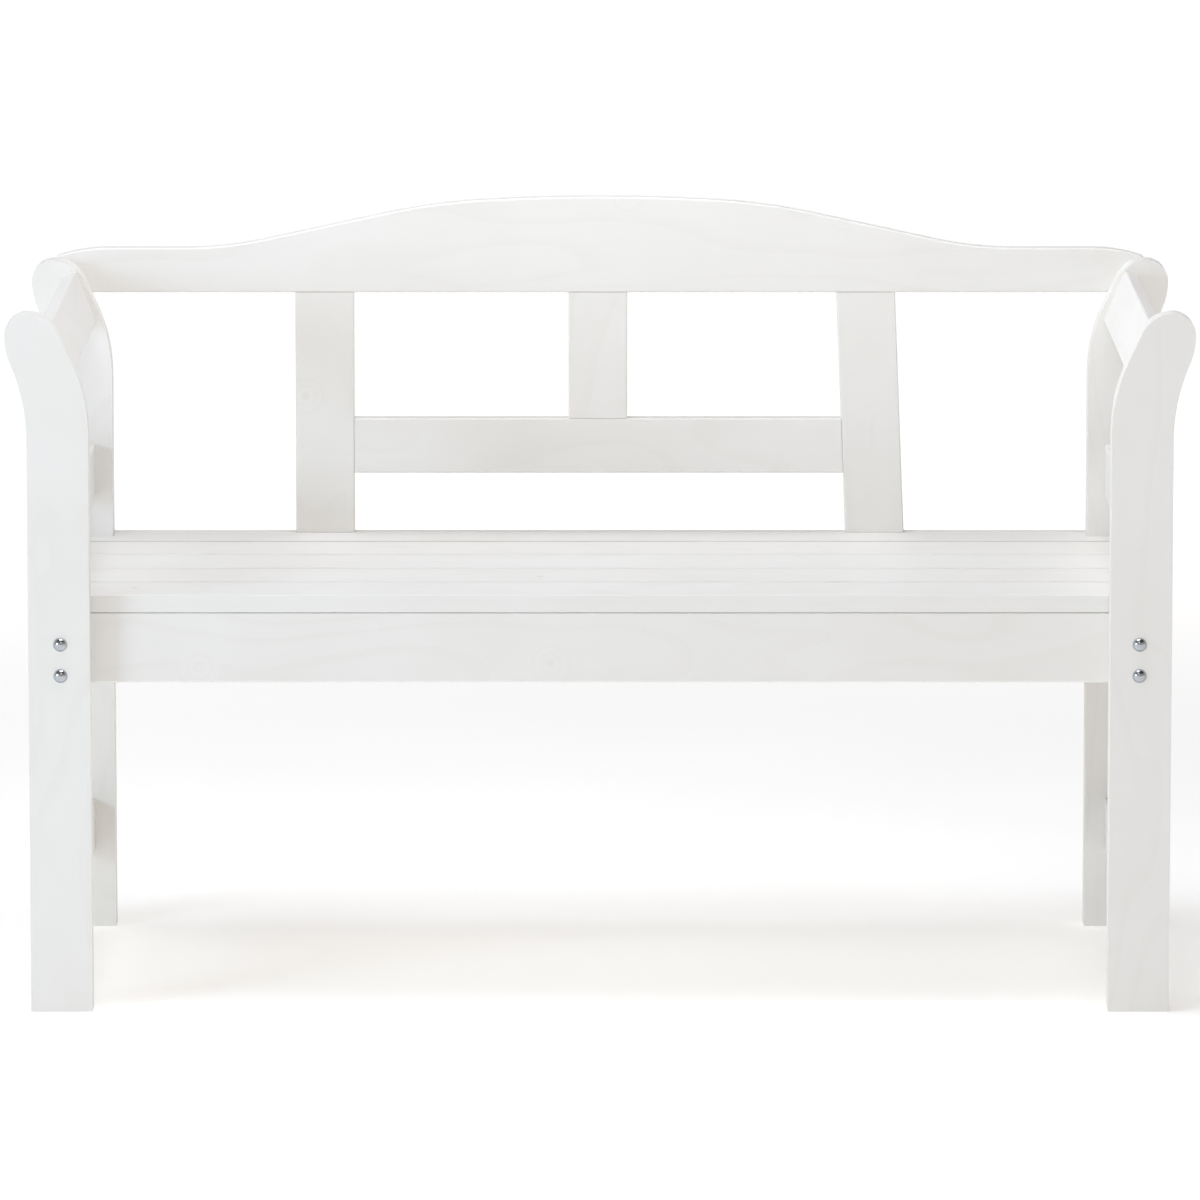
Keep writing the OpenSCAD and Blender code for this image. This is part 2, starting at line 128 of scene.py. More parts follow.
@dataclass(frozen=True)
class PaintedSoftwood:
    """Planed spruce under a satin white garden paint, brushed on.

    The film is thin, so the hard rings stand up under it as fine ridges, the paint is a shade
    warmer over knots, and the gloss is soft and slightly uneven along the brush strokes. The rings
    are drawn 3.4 mm apart, wider than in slow-grown spruce, so that they show. A ring's profile gives
    places across it with the wood's hardness there: soft early wood, then a hard line.
    """

    paint: str = "efedea"
    thin_paint: str = "e7e4de"
    knot: str = "d6cab9"
    ring_mm: float = 3.4
    ring_profile: tuple[tuple[float, float], ...] = ((0.0, 0.15), (0.62, 0.15), (0.86, 1.0), (1.0, 1.0))
    wander_mm: float = 16.0
    wander_per_m: tuple[float, float, float] = (1.6, 5.0, 5.0)
    pith_mm: float = 42.0
    pith_fold: float = 4.0
    knot_spacing_mm: float = 330.0
    knot_mm: float = 6.5
    knot_core: float = 0.35
    knot_reach: float = 4.0
    knot_sweep: float = 2.2
    knot_faintest: float = 0.35
    knot_boldest: float = 0.75
    knot_cover: float = 0.55
    knot_rise: float = 0.8
    ring_show: float = 0.22
    patch_show: float = 0.28
    patch_per_m: float = 7.0
    ridge_mm: float = 0.12
    ridge_strength: float = 0.55
    brush_mm: float = 0.9
    strokes_per_m: float = 9.0
    stroke_rise: float = 0.5
    roughness: float = 0.46
    smoother: float = 0.06
    rougher: float = 0.08
    ior: float = 1.48

    def build(self) -> bpy.types.Material:
        """Builds the paint from each board's own grain map.

        Returns:
            The material, which reads the "board" and "tone" attributes.
        """
        material, tree = fresh_material("satin_white_paint_on_spruce")
        board = add_node(tree, "ShaderNodeAttribute", attribute_name="board").outputs["Vector"]
        tone = add_node(tree, "ShaderNodeAttribute", attribute_name="tone").outputs["Fac"]
        away, present = self._knots(tree, board)
        rings = self._rings(tree, board, away)
        knots = self._knot_mask(tree, away, present)
        strokes = self._strokes(tree, board)
        colour = self._colour(tree, board, tone, rings, knots)
        height = self._height(tree, rings, knots, strokes)
        bump = add_node(
            tree, "ShaderNodeBump",
            {"Height": height, "Strength": self.ridge_strength, "Distance": self.ridge_mm * MM},
        )
        rough = add_node(
            tree, "ShaderNodeMapRange",
            {
                "Value": strokes, "To Min": self.roughness - self.smoother,
                "To Max": self.roughness + self.rougher,
            },
        )
        shader = add_node(
            tree, "ShaderNodeBsdfPrincipled",
            {
                "Base Color": colour, "Roughness": rough.outputs["Result"],
                "Normal": bump.outputs["Normal"], "IOR": self.ior,
            },
        )
        add_node(tree, "ShaderNodeOutputMaterial", {"Surface": shader.outputs["BSDF"]})
        return material

    def _knots(self, tree: Tree, board: Socket) -> tuple[Socket, Socket]:
        """Scatters knots over the board.

        Args:
            tree: The paint's node tree.
            board: Place in the tree that the board was sawn from.

        Returns:
            Distance from the nearest knot's middle in metres, and how strongly that knot shows.
        """
        split = add_node(tree, "ShaderNodeSeparateXYZ", {"Vector": board}).outputs
        flat = add_node(tree, "ShaderNodeCombineXYZ", {"X": split["X"], "Y": split["Y"]}).outputs["Vector"]
        cells = add_node(
            tree, "ShaderNodeTexVoronoi",
            {"Vector": flat, "Scale": 1000 / self.knot_spacing_mm, "Randomness": 1.0},
            voronoi_dimensions="2D",
        )
        away = add_node(
            tree, "ShaderNodeMath",
            {0: cells.outputs["Distance"], 1: self.knot_spacing_mm * MM}, operation="MULTIPLY",
        ).outputs["Value"]
        pick = add_node(tree, "ShaderNodeSeparateColor", {"Color": cells.outputs["Color"]}).outputs["Red"]
        present = add_node(
            tree, "ShaderNodeMapRange",
            {"Value": pick, "From Min": self.knot_faintest, "From Max": self.knot_boldest},
        ).outputs["Result"]
        return away, present

    def _rings(self, tree: Tree, board: Socket, away: Socket) -> Socket:
        """Draws growth rings as curved shells round a pith that wanders beside the board.

        Args:
            tree: The paint's node tree.
            board: Place in the tree that the board was sawn from.
            away: Distance from the nearest knot, which the rings sweep round.

        Returns:
            How hard the wood is, from 0 to 1 across each ring.
        """
        slow = add_node(
            tree, "ShaderNodeMapping", {"Vector": board, "Scale": self.wander_per_m}
        ).outputs["Vector"]
        wander = add_node(
            tree, "ShaderNodeTexNoise", {"Vector": slow, "Scale": 1.0, "Detail": 2.0}
        ).outputs["Color"]
        drift = add_node(
            tree, "ShaderNodeVectorMath",
            {0: wander, 1: (0.0, self.wander_mm * MM * 2, self.wander_mm * MM * 2)}, operation="MULTIPLY",
        ).outputs["Vector"]
        bent = add_node(tree, "ShaderNodeVectorMath", {0: board, 1: drift}, operation="ADD").outputs["Vector"]
        split = add_node(tree, "ShaderNodeSeparateXYZ", {"Vector": bent}).outputs
        fold = self.pith_mm * MM * self.pith_fold
        folded = add_node(
            tree, "ShaderNodeMath", {0: split["Y"], 1: fold}, operation="PINGPONG"
        ).outputs["Value"]
        deep = add_node(
            tree, "ShaderNodeMath", {0: split["Z"], 1: self.pith_mm * MM}, operation="ADD"
        ).outputs["Value"]
        across = add_node(tree, "ShaderNodeCombineXYZ", {"X": folded, "Y": deep}).outputs["Vector"]
        radius = add_node(tree, "ShaderNodeVectorMath", {0: across}, operation="LENGTH").outputs["Value"]
        near = add_node(
            tree, "ShaderNodeMapRange",
            {
                "Value": away, "From Max": self.knot_mm * MM * self.knot_reach,
                "To Min": self.ring_mm * MM * self.knot_sweep, "To Max": 0.0,
            },
            interpolation_type="SMOOTHSTEP",
        ).outputs["Result"]
        swept = add_node(tree, "ShaderNodeMath", {0: radius, 1: near}, operation="ADD").outputs["Value"]
        count = add_node(
            tree, "ShaderNodeMath", {0: swept, 1: 1 / (self.ring_mm * MM)}, operation="MULTIPLY"
        ).outputs["Value"]
        share = add_node(tree, "ShaderNodeMath", {0: count}, operation="FRACT").outputs["Value"]
        ramp = add_node(tree, "ShaderNodeValToRGB", {"Fac": share})
        stops = ramp.color_ramp.elements
        for place, _ in self.ring_profile[1:-1]:
            stops.new(place)
        for stop, (_, hardness) in zip(stops, self.ring_profile):
            stop.color = (hardness, hardness, hardness, 1)
        return ramp.outputs["Color"]

    def _knot_mask(self, tree: Tree, away: Socket, present: Socket) -> Socket:
        """Draws a soft round spot at each knot that shows.

        Args:
            tree: The paint's node tree.
            away: Distance from the nearest knot's middle.
            present: How strongly that knot shows.

        Returns:
            1 on a knot and 0 off it.
        """
        spot = add_node(
            tree, "ShaderNodeMapRange",
            {
                "Value": away, "From Min": self.knot_mm * MM * self.knot_core,
                "From Max": self.knot_mm * MM, "To Min": 1.0, "To Max": 0.0,
            },
            interpolation_type="SMOOTHSTEP",
        ).outputs["Result"]
        return add_node(tree, "ShaderNodeMath", {0: spot, 1: present}, operation="MULTIPLY").outputs["Value"]

    def _strokes(self, tree: Tree, board: Socket) -> Socket:
        """Draws brush marks as fine streaks that run with the board.

        Args:
            tree: The paint's node tree.
            board: Place in the tree that the board was sawn from.

        Returns:
            Height of the brush marks, from 0 to 1.
        """
        across = 1 / (self.brush_mm * MM)
        stretched = add_node(
            tree, "ShaderNodeMapping", {"Vector": board, "Scale": (self.strokes_per_m, across, across)}
        ).outputs["Vector"]
        return add_node(
            tree, "ShaderNodeTexNoise", {"Vector": stretched, "Scale": 1.0, "Detail": 3.0, "Roughness": 0.6}
        ).outputs["Fac"]

    def _colour(self, tree: Tree, board: Socket, tone: Socket, rings: Socket, knots: Socket) -> Socket:
        """Mixes white paint that is thinner in places and warmer over rings and knots.

        Args:
            tree: The paint's node tree.
            board: Place in the tree that the board was sawn from.
            tone: How thin the board's paint is.
            rings: How hard the wood is.
            knots: Where the knots are.

        Returns:
            The paint's colour.
        """
        patchy = add_node(
            tree, "ShaderNodeTexNoise",
            {"Vector": board, "Scale": self.patch_per_m, "Detail": 3.0, "Roughness": 0.55},
        ).outputs["Fac"]
        patch = add_node(
            tree, "ShaderNodeMapRange",
            {"Value": patchy, "From Min": 0.35, "From Max": 0.7, "To Max": self.patch_show},
        ).outputs["Result"]
        thin = add_node(
            tree, "ShaderNodeMath", {0: rings, 1: self.ring_show, 2: patch}, operation="MULTIPLY_ADD"
        ).outputs["Value"]
        thinner = add_node(tree, "ShaderNodeMath", {0: thin, 1: tone}, operation="ADD", use_clamp=True)
        white = add_node(
            tree, "ShaderNodeMix",
            {"Factor": thinner.outputs["Value"], "A": srgb(self.paint), "B": srgb(self.thin_paint)},
            data_type="RGBA",
        )
        faint = add_node(
            tree, "ShaderNodeMath", {0: knots, 1: self.knot_cover}, operation="MULTIPLY"
        ).outputs["Value"]
        knotted = add_node(
            tree, "ShaderNodeMix", {"Factor": faint, "B": srgb(self.knot)}, data_type="RGBA"
        )
        tree.links.new(white.outputs[2], knotted.inputs[6])
        return knotted.outputs[2]

    def _height(self, tree: Tree, rings: Socket, knots: Socket, strokes: Socket) -> Socket:
        """Adds up the ridges of the hard rings, the raised knots and the brush marks.

        Args:
            tree: The paint's node tree.
            rings: How hard the wood is.
            knots: Where the knots are.
            strokes: Height of the brush marks.

        Returns:
            One height for the bump.
        """
        wood = add_node(
            tree, "ShaderNodeMath", {0: knots, 1: self.knot_rise, 2: rings}, operation="MULTIPLY_ADD"
        ).outputs["Value"]
        return add_node(
            tree, "ShaderNodeMath", {0: strokes, 1: self.stroke_rise, 2: wood}, operation="MULTIPLY_ADD"
        ).outputs["Value"]


@dataclass(frozen=True)
class ZincSteel:
    """Bright zinc-plated steel, cold-headed and polished by tumbling: mirror-like with a fine haze."""

    zinc: str = "b4b8bd"
    roughness: float = 0.14
    smoother: float = 0.05
    rougher: float = 0.08
    pits_mm: float = 0.8

    def build(self) -> bpy.types.Material:
        """Builds the plated metal.

        Returns:
            The material, with a fine haze in its gloss.
        """
        material, tree = fresh_material("bright_zinc_plated_steel")
        place = add_node(tree, "ShaderNodeTexCoord").outputs["Object"]
        haze = add_node(
            tree, "ShaderNodeTexNoise",
            {"Vector": place, "Scale": 1 / (self.pits_mm * MM), "Detail": 2.0},
        ).outputs["Fac"]
        rough = add_node(
            tree, "ShaderNodeMapRange",
            {
                "Value": haze, "To Min": self.roughness - self.smoother,
                "To Max": self.roughness + self.rougher,
            },
        ).outputs["Result"]
        shader = add_node(
            tree, "ShaderNodeBsdfPrincipled",
            {"Base Color": srgb(self.zinc), "Metallic": 1.0, "Roughness": rough},
        )
        add_node(tree, "ShaderNodeOutputMaterial", {"Surface": shader.outputs["BSDF"]})
        return material


@dataclass(frozen=True)
class TurnedBeech:
    """Unpainted beech dowel rod: pale tan with short dark flecks along its length."""

    wood: str = "cfa97c"
    fleck: str = "a87c50"
    fleck_mm: float = 1.2
    roughness: float = 0.7

    def build(self) -> bpy.types.Material:
        """Builds the dowel wood.

        Returns:
            The material, flecked in the piece's own space.
        """
        material, tree = fresh_material("turned_beech")
        place = add_node(tree, "ShaderNodeTexCoord").outputs["Object"]
        flecks = add_node(
            tree, "ShaderNodeTexNoise",
            {"Vector": place, "Scale": 1 / (self.fleck_mm * MM), "Detail": 1.0},
        ).outputs["Fac"]
        colour = add_node(
            tree, "ShaderNodeMix",
            {"Factor": flecks, "A": srgb(self.wood), "B": srgb(self.fleck)}, data_type="RGBA",
        )
        shader = add_node(
            tree, "ShaderNodeBsdfPrincipled",
            {"Base Color": colour.outputs[2], "Roughness": self.roughness},
        )
        add_node(tree, "ShaderNodeOutputMaterial", {"Surface": shader.outputs["BSDF"]})
        return material


@dataclass(frozen=True)
class Finishes:
    """The three finished materials."""

    paint: bpy.types.Material
    zinc: bpy.types.Material
    beech: bpy.types.Material


# ---- Joinery ----


class Outline:
    """A board's outline, drawn by walking a point with bmesh operators."""

    def __init__(self, bm: bmesh.types.BMesh, start: Vector, heading: float, plane_y: float) -> None:
        """Starts the walk.

        Args:
            bm: The mesh to draw in.
            start: Start point as (x, z), in metres.
            heading: Direction of travel in degrees, from +X towards +Z.
            plane_y: The plane that the outline lies in.
        """
        self.bm = bm
        self.heading = heading
        self.tip = bmesh.ops.create_vert(bm, co=Vector((start[0], plane_y, start[1])))["vert"][0]

    def _left(self) -> Vector:
        """Unit vector to the left of the direction of travel."""
        a = math.radians(self.heading)
        return Vector((-math.sin(a), 0, math.cos(a)))

    def line(self, length: float) -> "Outline":
        """Walks straight on.

        Args:
            length: How far, in metres.

        Returns:
            The outline itself, so that steps can follow one another.
        """
        a = math.radians(self.heading)
        made = bmesh.ops.extrude_vert_indiv(self.bm, verts=[self.tip])["verts"]
        self.tip = made[0]
        bmesh.ops.translate(self.bm, verts=made, vec=Vector((math.cos(a), 0, math.sin(a))) * length)
        return self

    def arc(self, radius: float, turn: float, chord: float = 5 * MM) -> "Outline":
        """Walks round an arc.

        Args:
            radius: The arc's radius.
            turn: Degrees turned, to the left if positive and to the right if negative.
            chord: The longest straight step along the arc.

        Returns:
            The outline itself.
        """
        side = math.copysign(1.0, turn)
        centre = self.tip.co + self._left() * radius * side
        steps = max(2, math.ceil(abs(math.radians(turn)) * radius / chord))
        made = bmesh.ops.spin(
            self.bm, geom=[self.tip], cent=centre, axis=-Y, angle=math.radians(turn),
            steps=steps, use_merge=False, use_duplicate=False,
        )["geom_last"]
        self.tip = next(g for g in made if isinstance(g, bmesh.types.BMVert))
        self.heading += turn
        return self

    def close(self) -> None:
        """Joins the end of the walk to its start and fills the outline."""
        bmesh.ops.remove_doubles(self.bm, verts=self.bm.verts, dist=WELD)
        loose = [v for v in self.bm.verts if len(v.link_edges) == 1]
        if loose:
            bmesh.ops.contextual_create(self.bm, geom=loose)
        bmesh.ops.contextual_create(self.bm, geom=self.bm.edges[:])


def block(size: Vector, centre: Vector, turn: Matrix | None = None) -> bmesh.types.BMesh:
    """Makes a sawn block.

    Args:
        size: Length along X, Y and Z.
        centre: Where its middle goes.
        turn: How it is turned about its middle.

    Returns:
        A new bmesh.
    """
    bm = bmesh.new()
    made = bmesh.ops.create_cube(bm, size=1.0)["verts"]
    bmesh.ops.scale(bm, verts=made, vec=size)
    if turn is not None:
        bmesh.ops.rotate(bm, verts=made, cent=Vector(), matrix=turn)
    bmesh.ops.translate(bm, verts=made, vec=centre)
    return bm


def thicken(bm: bmesh.types.BMesh, thickness: float) -> None:
    """Extrudes a flat outline towards the back.

    Args:
        bm: The mesh that holds the outline.
        thickness: How far.
    """
    made = bmesh.ops.extrude_face_region(bm, geom=bm.faces[:])["geom"]
    bmesh.ops.translate(
        bm, verts=[g for g in made if isinstance(g, bmesh.types.BMVert)], vec=Y * thickness
    )
    bmesh.ops.recalc_face_normals(bm, faces=bm.faces)


def node_size(name: str) -> tuple[Vector, Vector]:
    """Measures a frame node.

    Args:
        name: The node's name.

    Returns:
        The size and the middle of its box.
    """
    low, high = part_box(name)
    return high - low, (high + low) / 2


@dataclass
class Board:
    """One planed and painted board.

    Args:
        node: The frame node that it stands for.
        along: Direction of its grain.
        face: Normal of its wide face.
        arris: Largest radius of its long edges.
        ends: Largest radius of its other edges.
        tone: How much thinner its paint is than the thickest, from 0 to 1.
    """

    node: str
    along: Vector
    face: Vector
    arris: float = 2.2 * MM
    ends: float = 0.5 * MM
    tone: float = 0.2

    def ease(self, bm: bmesh.types.BMesh) -> None:
        """Rounds the long edges first and then the ends.

        A radius never outgrows the board's shortest edges. So the long edges of legs and posts come out
        at about 0.3 mm with sharp ends, and the notched slat stays sharp all round.

        Args:
            bm: The board with square edges.
        """
        for radius, long_edges, segments in ((self.arris, True, 4), (self.ends, False, 2)):
            edges = [
                e for e in bm.edges
                if e.calc_face_angle(0.0) > math.radians(ROUND_FROM) and self._runs_along(e) == long_edges
            ]
            if edges and radius > 0:
                bmesh.ops.bevel(
                    bm, geom=edges, offset=radius, segments=segments, profile=0.5,
                    affect="EDGES", clamp_overlap=True, material=-1,
                )

    def _runs_along(self, edge: bmesh.types.BMEdge) -> bool:
        """Whether an edge runs with the grain."""
        way = (edge.verts[1].co - edge.verts[0].co).normalized()
        return abs(way.dot(self.along)) > 0.7

    def map_grain(self, bm: bmesh.types.BMesh) -> None:
        """Writes each point's place in the tree that the board was sawn from.

        Args:
            bm: The board's shape.
        """
        # A steady number from the node's name moves each board to its own place in the pattern.
        seed = sum(ord(c) * (i + 3) for i, c in enumerate(self.node))
        shift = Vector((seed % 97, seed % 71, seed % 53)) * 0.137
        across = self.face.cross(self.along)
        grain = bm.verts.layers.float_vector.new("board")
        tone = bm.verts.layers.float.new("tone")
        for v in bm.verts:
            v[grain] = Vector((v.co.dot(self.along), v.co.dot(across), v.co.dot(self.face))) + shift
            v[tone] = self.tone

    def finish(self, bm: bmesh.types.BMesh, paint: bpy.types.Material) -> bpy.types.Object:
        """Rounds, maps and paints the board and puts it in place of its node.

        Args:
            bm: The board's shape, in place.
            paint: Its paint.

        Returns:
            The finished piece.
        """
        self.ease(bm)
        self.map_grain(bm)
        return place_piece(bm, "painted_" + self.node, paint, self.node)


def place_piece(
    bm: bmesh.types.BMesh, name: str, material: bpy.types.Material, node: str,
) -> bpy.types.Object:
    """Turns a bmesh into a piece that rides on the bench and stands for a frame node.

    Args:
        bm: The piece's shape, in place.
        name: The piece's name.
        material: Its finish.
        node: The frame node that it stands for.

    Returns:
        The piece.
    """
    for f in bm.faces:
        f.smooth = True
    mesh = bpy.data.meshes.new(name)
    bm.to_mesh(mesh)
    bm.free()
    mesh.set_sharp_from_angle(angle=math.radians(SHARP_FROM))
    mesh.materials.append(material)
    piece = bpy.data.objects.new(name, mesh)
    bpy.context.scene.collection.objects.link(piece)
    even = piece.modifiers.new("even_shading", "WEIGHTED_NORMAL")
    even.keep_sharp = True
    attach(piece, "root")
    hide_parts(node)
    LOG.info("%s stands for %s", name, node)
    return piece


@dataclass
class SideFrame:
    """One end of the bench: a flared leg and post joined by an armrest and three rails."""

    side: str
    flare_r: float = 220 * MM
    cheek_r: float = 85 * MM
    tip_r: float = 25 * MM
    shoulder_r: float = 40 * MM
    inner_r: float = 200 * MM
    leg_w: float = 70 * MM
    flare_angle: float = 23.0
    shoulder_angle: float = 25.0
    arm_tilt: float = 22.0

    def reach(self) -> float:
        """How far the flared tip stands out past the straight outer face."""
        return (self.flare_r + self.cheek_r) * (1 - math.cos(math.radians(self.flare_angle)))

    def post_shape(self, node: str) -> bmesh.types.BMesh:
        """Cuts the flared outline of a leg or post, which is the same for both.

        Args:
            node: The frame node whose place it takes.

        Returns:
            The blank with square edges.
        """
        low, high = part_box(node)
        height = high.z - low.z
        outer = high.x if self.side == "right" else -low.x
        flare, shoulder = math.radians(self.flare_angle), math.radians(self.shoulder_angle)
        straight = height - self.tip_r - (self.flare_r + self.cheek_r) * math.sin(flare)
        foot = outer - self.reach()
        run = (
            self.leg_w + self.reach() - self.tip_r - self.shoulder_r * math.cos(shoulder)
            - self.inner_r * (1 - math.cos(shoulder))
        )
        bm = bmesh.new()
        walk = Outline(bm, Vector((foot - self.leg_w, low.z)), 0.0, low.y)
        walk.line(self.leg_w)
        walk.heading = 90.0
        walk.line(straight).arc(self.flare_r, -self.flare_angle).arc(self.cheek_r, self.flare_angle)
        walk.arc(self.tip_r, 90.0, 3 * MM).arc(self.shoulder_r, 90.0 - self.shoulder_angle)
        walk.line(run / math.sin(shoulder)).arc(self.inner_r, self.shoulder_angle)
        walk.close()
        thicken(bm, high.y - low.y)
        if self.side == "left":
            bmesh.ops.scale(bm, verts=bm.verts, vec=Vector((-1, 1, 1)))
            bmesh.ops.recalc_face_normals(bm, faces=bm.faces)
        return bm

    def arm_shape(self, node: str) -> bmesh.types.BMesh:
        """Cuts the tilted armrest board, its size worked out from its box.

        Args:
            node: The frame node that it stands for.

        Returns:
            The board with square edges.
        """
        size, centre = node_size(node)
        tilt = math.radians(self.arm_tilt)
        c, s = math.cos(tilt), math.sin(tilt)
        thick = (size.x * c - size.z * s) / (c * c - s * s)
        wide = (size.z * c - size.x * s) / (c * c - s * s)
        way = tilt if self.side == "right" else -tilt
        return block(Vector((thick, size.y, wide)), centre, Matrix.Rotation(way, 3, "Y"))

    def build(self, finishes: Finishes) -> None:
        """Builds the six boards of this end.

        Args:
            finishes: The finished materials.
        """
        for part, tone in (("front_leg", 0.12), ("rear_post", 0.22)):
            node = f"{part}_{self.side}"
            board = Board(node, Z, -Y, arris=2.6 * MM, ends=1.6 * MM, tone=tone)
            board.finish(self.post_shape(node), finishes.paint)
        tilt = math.radians(self.arm_tilt if self.side == "right" else -self.arm_tilt)
        arm_face = Matrix.Rotation(tilt, 3, "Y") @ X
        node = f"armrest_{self.side}"
        Board(node, Y, arm_face, arris=3 * MM, tone=0.1).finish(self.arm_shape(node), finishes.paint)
        for part, tone in (("side_rail", 0.3), ("lower_stretcher", 0.15), ("seat_bearer", 0.35)):
            node = f"{part}_{self.side}"
            Board(node, Y, X, tone=tone).finish(block(*node_size(node)), finishes.paint)


@dataclass
class Seat:
    """The seat: an apron, five slats, the last one notched, and the bearers under them."""

    slope: float = 0.4292
    post_gap: float = 0.4 * MM
    tones: list[float] = field(default_factory=lambda: [0.1, 0.3, 0.15, 0.35, 0.25])

    def sloped(self, node: str) -> bmesh.types.BMesh:
        """Cuts a board that lies in the seat's slope, its size worked out from its box.

        Args:
            node: The frame node that it stands for.

        Returns:
            The board with square edges.
        """
        size, centre = node_size(node)
        c, s = math.cos(math.radians(self.slope)), math.sin(math.radians(self.slope))
        wide = (size.y * c - size.z * s) / (c * c - s * s)
        thick = (size.z * c - size.y * s) / (c * c - s * s)
        turn = Matrix.Rotation(-math.radians(self.slope), 3, "X")
        return block(Vector((size.x, wide, thick)), centre, turn)

    def notch(self, bm: bmesh.types.BMesh, side: int) -> None:
        """Cuts one rear corner of the last slat away round its post.

        Args:
            bm: The slat.
            side: 1 for the right corner and -1 for the left.
        """
        low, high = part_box("rear_post_right")
        frame_end = SideFrame("right")
        cut_x = side * (high.x - frame_end.reach() - frame_end.leg_w - self.post_gap)
        cut_y = low.y - self.post_gap
        for point, normal in ((Vector((cut_x, 0, 0)), X), (Vector((0, cut_y, 0)), Y)):
            geom = bm.verts[:] + bm.edges[:] + bm.faces[:]
            bmesh.ops.bisect_plane(bm, geom=geom, plane_co=point, plane_no=normal)
        waste = [
            f for f in bm.faces
            if f.calc_center_median().x * side > cut_x * side and f.calc_center_median().y > cut_y
        ]
        bmesh.ops.delete(bm, geom=waste, context="FACES")
        rim = [e for e in bm.edges if e.is_boundary]
        bmesh.ops.holes_fill(bm, edges=rim, sides=0)
        bmesh.ops.recalc_face_normals(bm, faces=bm.faces)

    def build(self, finishes: Finishes) -> None:
        """Builds the apron, the slats and what carries them.

        Args:
            finishes: The finished materials.
        """
        apron = Board("front_apron", X, -Y, arris=2 * MM, tone=0.2)
        apron.finish(block(*node_size("front_apron")), finishes.paint)
        for number, tone in enumerate(self.tones, start=1):
            node = f"seat_slat_{number}"
            bm = self.sloped(node)
            if number == len(self.tones):
                self.notch(bm, -1)
                self.notch(bm, 1)
            Board(node, X, Z, arris=1.0 * MM, ends=0.4 * MM, tone=tone).finish(bm, finishes.paint)
        for node in ("seat_batten_left", "seat_batten_right", "centre_bearer"):
            Board(node, Y, Z, arris=1.5 * MM, tone=0.6).finish(self.sloped(node), finishes.paint)


@dataclass
class Backrest:
    """The back: a camel-back crest rail over two stiles, a middle rail and a bottom rail."""

    flat_r: float = 2400 * MM
    flat_turn: float = 3.3
    brow_r: float = 760 * MM
    slope: float = 12.2
    line: float = 148 * MM
    dip_r: float = 440 * MM
    tail: float = 92 * MM
    tip_r: float = 190 * MM

    def crest_shape(self) -> bmesh.types.BMesh:
        """Cuts the crest rail: half of its top is walked from the middle, then mirrored.

        Returns:
            The rail with square edges.
        """
        low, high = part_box("crest_rail")
        bm = bmesh.new()
        walk = Outline(bm, Vector((0, high.z)), 0.0, low.y)
        walk.arc(self.flat_r, -self.flat_turn).arc(self.brow_r, self.flat_turn - self.slope)
        walk.line(self.line).arc(self.dip_r, self.slope).line(self.tail)
        span = high.x - walk.tip.co.x
        walk.arc(self.tip_r, -math.degrees(math.asin(span / self.tip_r)))
        walk.heading = -90.0
        walk.line(walk.tip.co.z - low.z)
        walk.heading = 180.0
        walk.line(high.x)
        bmesh.ops.contextual_create(bm, geom=[v for v in bm.verts if len(v.link_edges) == 1])
        bmesh.ops.contextual_create(bm, geom=bm.edges[:])
        half = bm.verts[:] + bm.edges[:] + bm.faces[:]
        bmesh.ops.mirror(bm, geom=half, axis="X", merge_dist=MIRROR_WELD)
        bmesh.ops.dissolve_faces(bm, faces=bm.faces[:], use_verts=False)
        thicken(bm, high.y - low.y)
        return bm

    def slanted(
        self, node: str, shift_low: tuple[float, float], shift_high: tuple[float, float]
    ) -> bmesh.types.BMesh:
        """Cuts a board whose left and right edges slant.

        Args:
            node: The frame node that it stands for.
            shift_low: How far in its lower left and lower right corners are from its box.
            shift_high: The same for its upper corners.

        Returns:
            The board with square edges.
        """
        size, centre = node_size(node)
        bm = block(size, centre)
        for v in bm.verts:
            left, right = shift_high if v.co.z > centre.z else shift_low
            v.co.x += left if v.co.x < centre.x else -right
        return bm

    def build(self, finishes: Finishes) -> None:
        """Builds the six boards of the back.

        Args:
            finishes: The finished materials.
        """
        crest = Board("crest_rail", X, -Y, arris=2.4 * MM, ends=2.4 * MM, tone=0.1)
        crest.finish(self.crest_shape(), finishes.paint)
        Board("bottom_rail", X, -Y, tone=0.3).finish(block(*node_size("bottom_rail")), finishes.paint)
        for node, tone in (("stile_left", 0.25), ("centre_stile", 0.2)):
            Board(node, Z, -Y, ends=0.3 * MM, tone=tone).finish(block(*node_size(node)), finishes.paint)
        leaning = node_size("stile_right")[0]
        lean = leaning.x - node_size("centre_stile")[0].x
        stile = self.slanted("stile_right", (lean, 0.0), (0.0, lean))
        Board("stile_right", Z, -Y, ends=0.3 * MM, tone=0.3).finish(stile, finishes.paint)
        cut = lean * node_size("middle_rail")[0].z / leaning.z
        rail = self.slanted("middle_rail", (0.0, 0.0), (0.0, cut))
        Board("middle_rail", X, -Y, ends=0.3 * MM, tone=0.2).finish(rail, finishes.paint)


